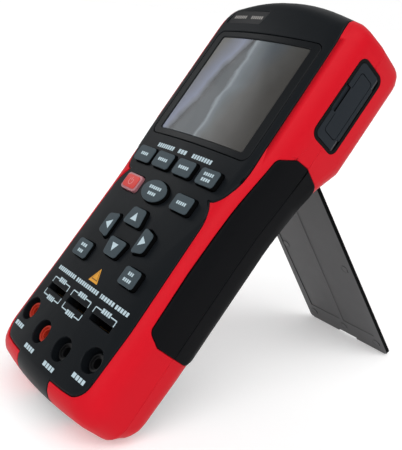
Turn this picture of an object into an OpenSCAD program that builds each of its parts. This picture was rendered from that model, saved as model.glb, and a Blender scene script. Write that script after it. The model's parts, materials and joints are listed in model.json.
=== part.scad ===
// Handheld LCR meter standing on its folding rear stand, leaning back.
// Every sub-part is drawn in the meter's own axes: X across the panel, Y up the panel,
// Z out of the panel, origin at the middle of the panel. standing() then leans it back.

/* [Body] */
// Overall length of the body along the panel
body_len = 205; // [195:1:215]
// Width of the body beside the display
upper_w = 93; // [90:0.5:96]
// Width of the body below the keys
lower_w = 86; // [84:0.5:88]
// Depth of the body behind the display
upper_depth = 43; // [42:0.5:46]
// Depth of the body below the stand hinge
lower_depth = 35.2; // [35.1:0.1:35.8]
// Thickness of the moulded skins
skin = 3; // [2.6:0.1:3.2]
// Thickness of the inner liner behind the skins
liner = 1.5; // [1.2:0.1:1.8]
// Depth of the parting line below the panel
parting = 22.5; // [20:0.5:25]
// Clear gap between neighbouring mouldings
gap = 0.35; // [0.25:0.05:0.5]

/* [Display] */
// Width of the display window
window_w = 60.8; // [56:0.2:62]
// Height of the display window
window_h = 53.5; // [50:0.5:54]
// Height of the window centre above the middle of the panel
window_y = 49.7; // [48:0.1:51]
// Width of the surround, out to its groove
surround_w = 71.5; // [70:0.5:73]
// Height of the surround, out to its groove
surround_h = 60.4; // [60:0.2:62]

/* [Keys] */
// Pitch of the four keys in the top row
key_pitch = 16.2; // [15.5:0.1:16.6]
// Width of a key
key_w = 12.6; // [11:0.1:13]
// Height of a key
key_h = 7.8; // [7:0.1:8.2]
// How far a key stands above the panel
key_proud = 1.9; // [1.4:0.1:2.2]
// How far a key travels when it is pressed
key_travel = 0.8; // [0.4:0.1:0.8]
// Clear gap around a key
key_gap = 0.35; // [0.3:0.05:0.5]

/* [Terminals] */
// Pitch of the banana sockets
socket_pitch = 19; // [18.6:0.1:19.4]
// Radius of a banana socket bore
socket_r = 2; // [1.95:0.05:2.1]
// Radius of the well around a banana socket
well_r = 5.5; // [5.2:0.1:6]
// Pitch of the component test slots
slot_pitch = 19.7; // [19:0.1:20.5]
// Length of a component test slot
slot_len = 15.4; // [14:0.2:16]
// Width of a component test slot
slot_gap = 2.9; // [2.4:0.1:3.2]

/* [Side door] */
// Length of the side door's recess
door_len = 41; // [39:0.5:42]
// Height of the side door's recess
door_h = 17.4; // [16:0.2:18]
// Height of the door centre above the middle of the panel
door_y = 65; // [62:0.2:68]

/* [Stand] */
// Width of the stand plate
stand_w = 59.5; // [56:0.5:60]
// Width of the stand plate beside its hinge
stand_top_w = 51; // [48:0.5:56]
// Length of the stand from its hinge to its foot
stand_len = 134; // [130:1:136]
// Thickness of the stand plate
stand_t = 2.2; // [2:0.1:2.6]
// Height of the hinge above the middle of the panel
hinge_y = 44; // [43:0.5:45]
// Angle between the body and the vertical
lean = 37; // [36:0.5:41]

/* [Hidden] */
$fn = 32;

ABS_BLACK = [0.11, 0.12, 0.13];
BUMPER_RED = [0.81, 0.1, 0.16];
GRIP_BLACK = [0.05, 0.05, 0.055];
KEY_SLATE = [0.25, 0.29, 0.31];
DOOR_SLATE = [0.14, 0.16, 0.18];
STAND_GREY = [0.29, 0.29, 0.3];
SOCKET_RED = [0.65, 0.18, 0.13];
BRASS = [0.8, 0.62, 0.25];
STEEL = [0.7, 0.71, 0.73];

half_len = body_len / 2;
crown = 0.0017;           // fall of the panel towards its sides, per mm squared
dish = 0.00014;           // rise of the panel towards its ends, per mm squared
shoulder_in = 9;          // how far in from the side the front shoulder starts
shoulder_drop = 11;       // how far down the front shoulder ends
back_round = 8;           // radius of the rear edges
side_bulge = 0.4;         // how far the sides swell at the parting line
top_arch = 7;             // how far the top end falls from its middle to its sides
bottom_arch = 2.5;        // how far the bottom end rises from its middle to its sides
top_corner = 9;
bottom_corner = 10;
inner = skin + liner;
ring_steps = 5;           // steps in each rounded stretch of the body

panel_upper = 39.8;       // half width of the panel beside the display
panel_waist = 35.4;       // half width of the panel beside the arrow keys
panel_lower = 36.4;       // half width of the panel beside the test slots
panel_foot = 35.9;        // half width of the panel beside the sockets
cusp = [31.3, -1.4];      // where the bumper comes furthest in
cusp_top = 20;            // height at which the upper edge starts to come in
cusp_low = -16;           // height at which the lower edge is nearly straight again
panel_corner = 9;         // radius of the panel's lower corners
panel_low = -95.6;        // height of the panel's lower edge beside the tab
tab_half = 14.8;          // half width of the tab that wraps over the bottom end
end_drop = 1;             // how far the front of the bottom end reaches past half the length
heel = 3.2;               // how far the back of the bottom end is drawn up
end_taper = 1.4;          // how much shallower the body is at its bottom end

key_flange_z = -6.4;      // top of a key's retaining flange
key_flange_t = 0.7;
mat_top = -9.1;
mat_t = 0.7;
board_top = mat_top - mat_t;
board_t = 1.6;
term_board_top = -17.5;

socket_in_y = -83.2;      // the two inner sockets
socket_out_y = -78.8;     // the two outer sockets
slot_y = -65.6;
insert_r = 3.8;           // radius of a socket's plastic insert
tube_r = 2.8;             // outer radius of a socket's metal tube
well_depth = 5;

hinge_z = -38.4;
pin_r = 1.5;
pin_clear = 0.05;         // radial running clearance of the stand on its pins
knuckle_r = 2.7;
knuckle_len = 7;
foot_r = stand_t / 2;
stand_bay = stand_w / 2 + 0.5; // half width of the bay that the stand folds into

door_z = -21.8;
door_frame = 1.5;

// ---- outline of the body, seen from the front ----
function ease(t) = let (c = min(1, max(0, t))) c * c * (3 - 2 * c);
function blend(a, b, t) = a + (b - a) * ease(t);
function half_width(y) = blend(lower_w, upper_w, (y + 10) / 45) / 2;
function depth(y) = blend(lower_depth, upper_depth, (y - 22) / 22) - end_taper * ease((-60 - y) / 40);
function top_y(x) = half_len - top_arch * pow(2 * x / upper_w, 2);
function bottom_y(x) = -half_len - end_drop + bottom_arch * pow(2 * x / lower_w, 2);
function face_z(x, y) = -crown * x * x + dish * y * y;
function arc(cx, cy, r, a0, a1, n) = [for (i = [0:n]) let (a = a0 + (a1 - a0) * i / n) [cx + r * cos(a), cy + r * sin(a)]];
function mirrored(pts) = [for (i = [len(pts) - 2:-1:1]) [-pts[i].x, pts[i].y]];

low_x = lower_w / 2 - bottom_corner;
high_x = upper_w / 2 - top_corner;
side_low = bottom_y(low_x) + bottom_corner;
side_high = top_y(high_x) - top_corner;
// Right half of the outline, from the middle of the bottom end to the middle of the top end
function right_side(ends, corners, sides) = concat(
    [for (i = [0:ends - 1]) let (x = low_x * i / ends) [x, bottom_y(x)]],
    arc(low_x, side_low, bottom_corner, -84, 0, corners),
    [for (i = [1:sides - 1]) let (y = side_low + (side_high - side_low) * i / sides) [half_width(y), y]],
    arc(high_x, side_high, top_corner, 0, 76, corners),
    [for (i = [ends:-1:0]) let (x = high_x * i / (ends + 1)) [x, top_y(x)]]
);
function whole(right) = concat(right, mirrored(right));
fine_outline = whole(right_side(5, 5, 16));
plain_outline = whole(right_side(2, 3, 10));

// Lowest point of the leaning body, from which the floor and the stand angle follow
function lean_height(p) = p.y * cos(lean) + p.z * sin(lean);
floor_level = min([
    for (i = [0:ring_steps])
    for (p = rear_round_ring(fine_outline, i, ring_steps, 0)) lean_height(p)
]);
hinge_height = lean_height([0, hinge_y, hinge_z]) - floor_level;
stand_open = lean + acos((hinge_height - foot_r) / (stand_len - foot_r));

// One ring of the body: the outline drawn in by inset, at the height that the level gives
function drawn_in(p, inset) = [p.x * (1 - 2 * inset / upper_w), p.y * (1 - inset / half_len)];
function shrunk(p, k) = [p.x * k, p.y * k];
function front_ring(outline, inset, drop, k, g) = [
    for (p = outline) let (q = shrunk(drawn_in(p, inset + g), k)) [q.x, q.y, face_z(q.x, q.y) - drop - g]
];
function heeled(y, t) = y + heel * t * ease((-80 - y) / 22);
function rear_ring(outline, inset, rise, k, g) = [
    for (p = outline)
    let (q = shrunk(drawn_in(p, inset + g), k), y = heeled(q.y, 1 - 0.5 * rise / back_round))
    [q.x, y, -depth(y) + rise + g]
];
function rear_round_ring(outline, i, steps, g) =
    let (a = i * 90 / steps)
    rear_ring(outline, back_round * (1 - cos(a)), back_round * (1 - sin(a)), 1, g);
function level_ring(outline, inset, z, g) = [for (p = outline) let (q = drawn_in(p, inset + g)) [q.x, q.y, z]];

// Closed solid of the body's form, shrunk by g all round, or grown where g is negative
module form(g, outline, steps) {
    count = len(outline);
    turn = 90 / steps;
    rings = concat(
        [for (k = [0.35, 0.7]) front_ring(outline, shoulder_in, 0, k, g)],
        [
            for (i = [0:steps])
            front_ring(outline, shoulder_in * (1 - sin(i * turn)), shoulder_drop * (1 - cos(i * turn)), 1, g)
        ],
        [level_ring(outline, -side_bulge, -parting, g)],
        [for (i = [0:steps]) rear_round_ring(outline, i, steps, g)],
        [for (k = [0.7, 0.35]) rear_ring(outline, back_round, 0, k, g)]
    );
    last = len(rings) - 1;
    centres = [[0, 0, -g], [0, 0, -depth(0) + g]];
    points = concat([for (r = rings) each r], centres);
    front_centre = len(points) - 2;
    rear_centre = len(points) - 1;
    bands = [
        for (r = [0:last - 1], i = [0:count - 1])
        let (j = (i + 1) % count, a = r * count + i, b = r * count + j, c = a + count, d = b + count)
        each [[a, b, c], [b, d, c]]
    ];
    caps = [
        for (i = [0:count - 1])
        let (j = (i + 1) % count, s = last * count)
        each [[front_centre, j, i], [rear_centre, s + i, s + j]]
    ];
    polyhedron(points, concat(bands, caps), convexity = 6);
}

module outer_form() { form(0, fine_outline, ring_steps); }
module liner_form() { form(skin, plain_outline, 2); }
module cavity_form() { form(inner, plain_outline, 2); }
module front_half() { translate([-80, -130, -parting]) cube([160, 260, 60]); }
module rear_half() { translate([-80, -130, -parting - 60]) cube([160, 260, 60]); }

// ---- flat outlines ----
function unit(v) = v / norm(v);
function corner(p, a, b, r, n) =
    let (u = unit(a - p), v = unit(b - p), h = acos(u * v) / 2, c = p + unit(u + v) * r / sin(h))
    let (s = p + u * r / tan(h) - c, e = p + v * r / tan(h) - c)
    let (a0 = atan2(s.y, s.x), turn = atan2(e.y, e.x) - a0)
    let (sweep = turn > 180 ? turn - 360 : turn < -180 ? turn + 360 : turn)
    [for (i = [0:n]) let (t = a0 + sweep * i / n) c + r * [cos(t), sin(t)]];
function rounded(pts, r, n = 4) = [
    for (i = [0:len(pts) - 1]) each corner(pts[i], pts[(i + len(pts) - 1) % len(pts)], pts[(i + 1) % len(pts)], r, n)
];
function box_pts(w, h) = [[-w / 2, -h / 2], [w / 2, -h / 2], [w / 2, h / 2], [-w / 2, h / 2]];
function oval_pts(w, h, n = 40) = [for (i = [0:n - 1]) [w / 2 * cos(i * 360 / n), h / 2 * sin(i * 360 / n)]];
function grown(pts, w, h, g) = [for (p = pts) [p.x * (1 + 2 * g / w), p.y * (1 + 2 * g / h)]];
module slab(pts, z0, z1) { translate([0, 0, z0]) linear_extrude(z1 - z0) polygon(pts); }
module rounded_box(w, h, r, z0, z1) { slab(rounded(box_pts(w, h), r), z0, z1); }
module block(x0, x1, y0, y1, z0, z1) { translate([x0, y0, z0]) cube([x1 - x0, y1 - y0, z1 - z0]); }
module rod(x, y, r, z0, z1) { translate([x, y, z0]) cylinder(r = r, h = z1 - z0); }
module cross_rod(x0, x1, r) { translate([x0, 0, 0]) rotate([0, 90, 0]) cylinder(r = r, h = x1 - x0); }
module both_sides() {
    children();
    mirror([1, 0, 0]) children();
}

// ---- where the panel, the rear plate and the grips are cut from the form ----
panel_right = concat(
    [[-0.1, -120], [tab_half, -120], [tab_half, panel_low], [24, panel_low + 0.4]],
    arc(panel_foot - panel_corner, panel_low + panel_corner + 0.6, panel_corner, -70, 0, 6),
    [[panel_lower, -62]],
    [
        for (i = [0:6]) let (t = i / 6)
        [cusp.x + (panel_waist - cusp.x) * (1 - t * t * t), cusp_low + (cusp.y - cusp_low) * t]
    ],
    [
        for (i = [1:8]) let (a = i * 90 / 8)
        [cusp.x + (panel_upper - cusp.x) * sin(a), cusp_top - (cusp_top - cusp.y) * cos(a)]
    ],
    [for (i = [0:6]) let (t = i / 6) [panel_upper - 5.6 * t * t, 80 + 22 * t]],
    [[34.6, 120], [-0.1, 120]]
);
rear_right = [[-0.1, -95.4], [29, -95.4], [36, -89], [36, -78], [35, 30], [37.6, 44], [37.6, 120], [-0.1, 120]];
function pushed_out(pts, g) = [for (p = pts) [p.x > 0 ? p.x + g : p.x, p.y]];
module panel_prism(g) { both_sides() slab(pushed_out(panel_right, g), -60, 20); }
module rear_prism(g) { both_sides() slab(pushed_out(rear_right, g), -60, 20); }

// The grip, drawn on the side wall as [up the body, out of the panel]
grip_low = -60.7;
grip_high = 33.1;
grip_front = -6.5;
grip_back = -33.4;
grip_pts = [
    [grip_low, grip_back], [grip_low, -12.5], [grip_low + 3.6, grip_front], [-30, grip_front + 0.4],
    [4, grip_front - 0.2], [27, -7.6], [grip_high - 0.6, -15], [grip_high, -22], [grip_high - 3, grip_back]
];
module grip_prism(g) {
    w = grip_high - grip_low;
    mid = [(grip_high + grip_low) / 2, (grip_front + grip_back) / 2];
    pts = [for (p = rounded([for (q = grip_pts) q - mid], 3.6)) p * (1 + 2 * g / w) + mid];
    rotate([90, 0, 90]) linear_extrude(70) polygon(pts);
}
grip_seat = 0.7;          // how far the liner under a grip stands out past the skin's depth
module grip_core(g) {
    ys = [-80, -30, -10, 0, 10, 20, 30, 50];
    slab(concat([for (y = ys) [half_width(y) - skin + grip_seat + g, y]], [[0, 50], [0, -80]]), -45, 10);
}
module grip() {
    difference() {
        intersection() {
            form(-0.5, plain_outline, 4);
            grip_prism(0);
        }
        grip_core(0.1);
    }
}

// Everything below the panel's curved face near height y0, lowered by off
crown_r = 1 / (2 * crown);
module under_crown(y0, off) {
    translate([0, y0, face_z(0, y0) - off])
        rotate([atan(2 * dish * y0), 0, 0])
        translate([0, 0, -crown_r])
        rotate([90, 0, 0])
        cylinder(r = crown_r, h = 150, center = true, $fn = 720);
}

// ---- keys: outline, width, height and place ----
function arrow_pts(base, tip, h) = [[-base / 2, -h / 2], [base / 2, -h / 2], [tip / 2, h / 2], [-tip / 2, h / 2]];
function turned(pts, a) = [for (p = pts) [p.x * cos(a) - p.y * sin(a), p.x * sin(a) + p.y * cos(a)]];
row_1 = 7.1;
row_2 = -7.4;
row_pad = -29;
row_low = -44.2;
KEYS = [
    ["key_freq", box_pts(key_w, key_h), key_w, key_h, -1.5 * key_pitch, row_1],
    ["key_level", box_pts(key_w, key_h), key_w, key_h, -0.5 * key_pitch, row_1],
    ["key_speed", box_pts(key_w, key_h), key_w, key_h, 0.5 * key_pitch, row_1],
    ["key_secondary", box_pts(key_w, key_h), key_w, key_h, 1.5 * key_pitch, row_1],
    ["key_power", box_pts(11.8, 8.2), 11.8, 8.2, -19.8, row_2],
    ["key_auto", oval_pts(17.4, 10.6), 17.4, 10.6, 0, row_2],
    ["key_lcrz", box_pts(key_w, key_h), key_w, key_h, 20.4, row_2],
    ["key_up", arrow_pts(14.2, 9.8, 8.4), 14.2, 8.4, 0, row_pad + 8],
    ["key_down", turned(arrow_pts(14.2, 9.8, 8.4), 180), 14.2, 8.4, 0, row_pad - 8],
    ["key_left", turned(arrow_pts(13.8, 9, 7.6), 90), 7.6, 13.8, -14.5, row_pad],
    ["key_right", turned(arrow_pts(13.8, 9, 7.6), -90), 7.6, 13.8, 14.5, row_pad],
    ["key_hold", box_pts(11.4, 8.2), 11.4, 8.2, -20.3, row_low],
    ["key_relative", box_pts(11.4, 8.2), 11.4, 8.2, 20.3, row_low]
];
function key_shape(k, g) = let (pts = grown(k[1], k[2], k[3], g)) len(pts) > 8 ? pts : rounded(pts, 1.6 + g / 2);
function key_top(k) = face_z(k[4], k[5]) + key_proud;
module at_key(k) { translate([k[4], k[5], 0]) children(); }
module key_body(k, top) {
    at_key(k) {
        slab(key_shape(k, 0), key_flange_z - key_flange_t, top - 0.4);
        slab(key_shape(k, -0.35), top - 1, top);
        slab(key_shape(k, 0.9), key_flange_z - key_flange_t, key_flange_z);
    }
}
module key_cap(i) { color(KEY_SLATE) key_body(KEYS[i], key_top(KEYS[i])); }
power = KEYS[4];
module key_power() {
    color(SOCKET_RED) at_key(power) {
        slab(key_shape(power, -0.9), key_top(power) - 1, key_top(power) - 0.15);
        slab(key_shape(power, -1.1), key_top(power) - 0.8, key_top(power));
    }
}
module power_key_glow() {
    color([0.75, 0.5, 0.55]) difference() {
        key_body(power, key_top(power) - 0.3);
        at_key(power) slab(key_shape(power, -0.9), key_top(power) - 1, key_top(power) + 1);
    }
}
module key_holes() {
    for (k = KEYS) at_key(k) slab(key_shape(k, key_gap), -9, 6);
}

// ---- banana sockets and component slots ----
SOCKETS = [
    [-1.5 * socket_pitch, socket_out_y], [-0.5 * socket_pitch, socket_in_y],
    [0.5 * socket_pitch, socket_in_y], [1.5 * socket_pitch, socket_out_y]
];
boss_bottom = -9.5;
tube_mouth = -9;
tube_end = -22.5;
insert_drop = 2.6;        // how far an insert's face lies below the panel
entry_r = 2.3;            // radius of the hole that leads to a socket's tube
module socket_bosses() {
    for (p = SOCKETS) rod(p.x, p.y, well_r + 1.5, boss_bottom, -3.2);
}
module socket_wells() {
    for (p = SOCKETS) {
        rod(p.x, p.y, well_r, face_z(p.x, p.y) - well_depth, 6);
        rod(p.x, p.y, insert_r + 0.05, boss_bottom - 1, 0);
    }
}
module socket_insert(p) {
    top = face_z(p.x, p.y) - insert_drop;
    difference() {
        union() {
            rod(p.x, p.y, insert_r, -16.5, top);
            rod(p.x, p.y, insert_r + 1.4, -11, boss_bottom - 0.1);
        }
        rod(p.x, p.y, insert_r - 0.8, top - 0.9, top + 1);
        rod(p.x, p.y, entry_r, tube_mouth, top + 1);
        rod(p.x, p.y, tube_r + 0.02, -17, tube_mouth + 0.01);
    }
}
module socket_inserts_red() { color(SOCKET_RED) for (i = [0, 1]) socket_insert(SOCKETS[i]); }
module socket_inserts_black() { color(ABS_BLACK) for (i = [2, 3]) socket_insert(SOCKETS[i]); }
module socket_tubes() {
    color(BRASS) for (p = SOCKETS) difference() {
        rod(p.x, p.y, tube_r, tube_end, tube_mouth);
        rod(p.x, p.y, socket_r, tube_end + 1.5, tube_mouth + 1);
    }
}
SLOTS = [-slot_pitch, 0, slot_pitch];
slot_block_top = -6.2;
slot_floor = -15.5;
module slot_holes(g, z0, z1) {
    for (x = SLOTS) translate([x, slot_y, 0]) slab(box_pts(slot_len + 2 * g, slot_gap + 2 * g), z0, z1);
}
module slot_block() {
    color(ABS_BLACK) difference() {
        block(-30, 30, slot_y - 4.2, slot_y + 4.2, term_board_top, slot_block_top);
        slot_holes(0.6, slot_floor, 0);
    }
}
module slot_contacts() {
    leaf_w = 5.4;
    color(BRASS) for (x = SLOTS, sx = [-1, 1], sy = [-1, 1])
        translate([x + sx * (slot_len / 2 - leaf_w / 2), slot_y + sy * (slot_gap / 2 + 0.3), 0])
        block(-leaf_w / 2, leaf_w / 2, -0.25, 0.25, slot_floor, slot_block_top - 0.6);
}

// ---- screws ----
CASE_SCREWS = [[31, 89], [-31, 89], [30.4, -87.8], [-30.4, -87.8]];
BOARD_SCREWS = [[29.5, 82], [-29.5, 82], [31, -52.5], [-31, -52.5]];
screw_web = -26;
module screw(x, y, head_r, head_h, shaft_r, seat, tip) {
    rod(x, y, shaft_r, seat, tip);
    difference() {
        rod(x, y, head_r, seat - head_h, seat);
        translate([x, y, 0]) for (a = [0, 90]) rotate([0, 0, a])
            block(-head_r * 0.65, head_r * 0.65, -0.3, 0.3, seat - head_h - 1, seat - head_h * 0.4);
    }
}
module case_screws() { color(STEEL) for (p = CASE_SCREWS) screw(p.x, p.y, 2.7, 2.2, 1.5, screw_web, -12); }
module board_screws() {
    color(STEEL) for (p = BOARD_SCREWS) screw(p.x, p.y, 2, 1.4, 1.1, board_top - board_t, -7.2);
}

// ---- mouldings ----
module front_shell() {
    color(ABS_BLACK) difference() {
        union() {
            difference() {
                intersection() {
                    union() {
                        intersection() {
                            outer_form();
                            panel_prism(0);
                        }
                        liner_form();
                    }
                    front_half();
                }
                cavity_form();
            }
            socket_bosses();
            for (p = CASE_SCREWS) rod(p.x, p.y, 3.6, -parting, -4.2);
            for (p = BOARD_SCREWS) rod(p.x, p.y, 2.6, board_top, -4.2);
        }
        translate([0, window_y, 0]) rounded_box(surround_w, surround_h, 4, -12, 6);
        key_holes();
        socket_wells();
        slot_holes(0, -12, 6);
        for (p = CASE_SCREWS) rod(p.x, p.y, 1.52, -parting - 1, -11);
        for (p = BOARD_SCREWS) rod(p.x, p.y, 1.12, board_top - 1, -6.8);
        plate_recess(plate_depth, 0);
        side_recess();
    }
}
module front_bumper() {
    color(BUMPER_RED) difference() {
        intersection() {
            outer_form();
            front_half();
        }
        liner_form();
        panel_prism(gap);
        both_sides() grip_prism(0.1);
        side_recess();
    }
}
hinge_block_top = -32.6;
bay_floor = -35.2;
module rear_shell() {
    color(ABS_BLACK) difference() {
        union() {
            difference() {
                intersection() {
                    union() {
                        intersection() {
                            outer_form();
                            rear_prism(0);
                        }
                        liner_form();
                    }
                    rear_half();
                }
                cavity_form();
            }
            block(-35, 35, 39.6, 52, -39.4, hinge_block_top);
            intersection() {
                liner_form();
                union() {
                    for (p = CASE_SCREWS) rod(p.x, p.y, 4.4, -upper_depth, -parting);
                    rod(0, cover_screw_y, 3.4, -upper_depth, -23);
                }
            }
        }
        block(-stand_bay, stand_bay, -110, hinge_y + 5, -60, -lower_depth - 0.1);
        block(-stand_bay, stand_bay, hinge_y - 7, hinge_y + 5, -60, bay_floor);
        translate([0, hinge_y, hinge_z]) cross_rod(-34, 34, pin_r);
        for (p = CASE_SCREWS) {
            rod(p.x, p.y, 3.1, -60, screw_web);
            rod(p.x, p.y, 1.6, screw_web - 1, -parting + 1);
        }
        battery_opening();
        side_recess();
    }
}
module rear_bumper() {
    color(BUMPER_RED) difference() {
        intersection() {
            outer_form();
            rear_half();
        }
        liner_form();
        rear_prism(gap);
        both_sides() grip_prism(0.1);
        side_recess();
    }
}
module grip_half(front) {
    color(GRIP_BLACK) intersection() {
        grip();
        if (front) front_half();
        else rear_half();
    }
}

// ---- display ----
lens_drop = 0.5;          // how far the lens lies below the surround's face
lens_bottom = -3.2;
lcd_top = -4.3;
lcd_t = 3.4;
module at_window() { translate([0, window_y, 0]) children(); }
module display_surround() {
    color(ABS_BLACK) difference() {
        intersection() {
            at_window() rounded_box(surround_w - 2 * gap, surround_h - 2 * gap, 3.6, lcd_top + 0.1, 4);
            under_crown(window_y, 0);
        }
        at_window() rounded_box(window_w, window_h, 1.4, lens_bottom, 6);
        at_window() rounded_box(window_w - 4, window_h - 4, 1, -9, 6);
    }
}
module display_lens() {
    color([0.32, 0.35, 0.38, 0.6]) intersection() {
        at_window() rounded_box(window_w - 0.2, window_h - 0.2, 1.3, lens_bottom + 0.01, 6);
        under_crown(window_y, lens_drop);
    }
}
module lcd_module() { color([0.3, 0.33, 0.35]) at_window() rounded_box(64, 56, 1, lcd_top - lcd_t, lcd_top); }
module lcd_tray() {
    color(STEEL) at_window() difference() {
        rounded_box(68, 58.6, 1.5, board_top, lcd_top);
        rounded_box(64.1, 56.1, 1, lcd_top - lcd_t - 0.02, lcd_top + 1);
        rounded_box(50, 42, 1, board_top - 1, lcd_top);
    }
}
plate_depth = 0.8;
plate_pts = [[-36, 84.6], [-9.4, 84.6], [-7, 91.8], [-33.5, 91.8]];
module plate_shape(g, z0, z1) {
    mid = [-21.5, 88.2];
    slab([for (p = rounded([for (q = plate_pts) q - mid], 0.8)) p * (1 + g) + mid], z0, z1);
}
module plate_recess(deep, g) {
    difference() {
        plate_shape(g, -6, 6);
        under_crown(88, deep);
    }
}
module name_plate() {
    color([0.16, 0.17, 0.18]) intersection() {
        plate_shape(-0.015, -6, 6);
        under_crown(88, plate_depth - 0.45);
        difference() {
            block(-60, 60, 70, 110, -10, 10);
            under_crown(88, plate_depth - 0.03);
        }
    }
}

// ---- boards ----
module main_board() {
    color([0.1, 0.35, 0.2]) difference() {
        block(-33.5, 33.5, -56, 85, board_top - board_t, board_top);
        for (p = BOARD_SCREWS) rod(p.x, p.y, 1.2, -20, 0);
    }
}
PARTS = [[-18, 62, 14, 14, 1.6], [8, 64, 20, 10, 3.2], [22, 42, 8, 12, 2.4], [-20, 38, 10, 8, 2],
         [-18, -2, 12, 12, 1.8], [4, 2, 8, 5, 1.4], [18, -2, 9, 9, 2], [-4, -46, 26, 7, 3.4]];
module board_parts() {
    color([0.08, 0.08, 0.09]) for (p = PARTS)
        translate([p[0], p[1], 0]) slab(box_pts(p[2], p[3]), board_top - board_t - p[4], board_top - board_t);
}
module shield_can() {
    color(STEEL) translate([0, 28, 0]) difference() {
        rounded_box(30, 20, 1, board_top - board_t - 3.6, board_top - board_t);
        rounded_box(29.2, 19.2, 0.6, board_top - board_t - 3.2, 0);
    }
}
module buzzer() {
    color(GRIP_BLACK) difference() {
        rod(-20, 16, 5.5, board_top - board_t - 4, board_top - board_t);
        rod(-20, 16, 1, -30, board_top - board_t - 2);
    }
}
module keypad_mat() {
    color([0.35, 0.36, 0.37]) {
        block(-32.5, 32.5, -49, 13.5, mat_top - mat_t, mat_top);
        for (k = KEYS) translate([k[4], k[5], mat_top]) cylinder(r1 = 2.6, r2 = 1.8, h = 0.8);
    }
}
module terminal_board() {
    color([0.1, 0.35, 0.2]) difference() {
        block(-34, 34, -94, -59, term_board_top - board_t, term_board_top);
        for (p = SOCKETS) rod(p.x, p.y, tube_r + 0.03, -30, 0);
        for (p = CASE_SCREWS) rod(p.x, p.y, 5, -30, 0);
    }
}

// ---- side door ----
module side_slab(w, h, r, x0, x1) {
    translate([x0, door_y, door_z]) rotate([90, 0, 90]) linear_extrude(x1 - x0) polygon(rounded(box_pts(w, h), r, 6));
}
door_x = 45.7;            // hinge line of the door, out from the middle
door_bar = 0.9;           // half thickness of the door
door_len_in = door_len - 2 * door_frame;
door_h_in = door_h - 2 * door_frame;
door_low = door_z - door_h_in / 2;
door_high = door_z + door_h_in / 2;
door_hinge_z = door_low + 1.1;
module side_recess() { side_slab(door_len, door_h, 4, 40, 60); }
module door_rod(r, len) {
    translate([door_x, door_y, door_hinge_z]) rotate([90, 0, 0]) cylinder(r = r, h = len, center = true);
}
module usb_frame() {
    color(GRIP_BLACK) difference() {
        side_slab(door_len - 0.1, door_h - 0.1, 3.9, 41.2, 46.5);
        side_slab(door_len_in, door_h_in, 2.6, 42.8, 60);
        side_slab(9.3, 3.6, 1.6, 40, 50);
        translate([0, door_y, 0]) block(44.4, 50, -6.4, 6.4, door_high - 1, door_high + 0.6);
        door_rod(0.5, door_len_in + 2);
    }
}
module usb_door() {
    skin_x = door_x + door_bar;
    color(DOOR_SLATE) difference() {
        union() {
            intersection() {
                side_slab(door_len_in - 0.5, door_h_in - 0.5, 2.4, door_x - door_bar, skin_x);
                union() {
                    block(40, 60, 0, 150, door_hinge_z + 1, 0);
                    translate([0, door_y, 0]) block(40, 60, 5.6 - door_len_in / 2, door_len_in / 2 - 5.6, door_hinge_z, 0);
                }
            }
            door_rod(door_bar, door_len_in - 11.2);
        }
        difference() {
            side_slab(30, 8.8, 1.6, skin_x - 0.3, 60);
            side_slab(29.3, 8.1, 1.3, 40, 61);
            translate([0, door_y, 0]) block(40, 60, -6.5, 6.5, door_z, 0);
        }
        translate([0, door_y, 0]) block(door_x + 0.1, 60, -6.3, 6.3, door_high - 2.4, 0);
        door_rod(0.55, 60);
    }
}
module door_pin() { color(STEEL) door_rod(0.5, door_len_in + 1.6); }
module usb_receptacle() {
    color(STEEL) difference() {
        side_slab(9, 3.3, 1.5, 34.5, 42.9);
        side_slab(8.3, 2.6, 1.2, 35.2, 50);
    }
}
module usb_tongue() { color(GRIP_BLACK) side_slab(6.4, 0.8, 0.35, 35.2, 41.8); }
module usb_board() {
    color([0.1, 0.35, 0.2]) block(24, 41, door_y - 9, door_y + 9, door_z - 2.7, door_z - 1.7);
}

// ---- stand ----
module stand_flat() {
    reach = stand_len - foot_r;
    notch_w = 14;
    notch_d = 2;
    rib_half = 1.5;
    half = stand_w / 2;
    top_half = stand_top_w / 2;
    face = foot_r - 0.35; // the front face lies below the rim and the rib
    difference() {
        union() {
            slab(rounded([[-half, -reach], [half, -reach], [top_half, -5], [-top_half, -5]], 1.8), -foot_r, foot_r);
            both_sides() translate([0, -reach, 0]) cross_rod(notch_w / 2, half - 2.2, foot_r);
            both_sides() cross_rod(half - knuckle_len, half, knuckle_r);
            both_sides() block(half - knuckle_len, half, -8, 0, -foot_r, foot_r);
        }
        block(-notch_w / 2, notch_w / 2, -reach - 5, -reach - foot_r + notch_d, -9, 9);
        block(-half + knuckle_len + 3, half - knuckle_len - 3, -9, 1, -9, 9);
        both_sides() block(rib_half, top_half - 1.4, -reach + 12, -14, face, 9);
        block(-notch_w / 2 - 8, notch_w / 2 + 8, -reach + 26, -30, -9, -foot_r + 0.5);
        cross_rod(-half - 1, half + 1, pin_r + pin_clear);
    }
    for (p = [[-22, -71], [22, -71], [-24, -reach + 6.5], [0, -reach + 7], [24, -reach + 6.5]])
        translate([p.x, p.y, 0]) cylinder(r = 2.3, h = foot_r + (p.y > -100 ? -0.1 : 0.25));
}
module stand() {
    color(STAND_GREY) translate([0, hinge_y, hinge_z]) rotate([stand_open, 0, 0]) stand_flat();
}
module stand_pins() {
    color(STEEL) translate([0, hinge_y, hinge_z]) both_sides() cross_rod(stand_w / 2 - knuckle_len + 1, 33.6, pin_r);
}

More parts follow.
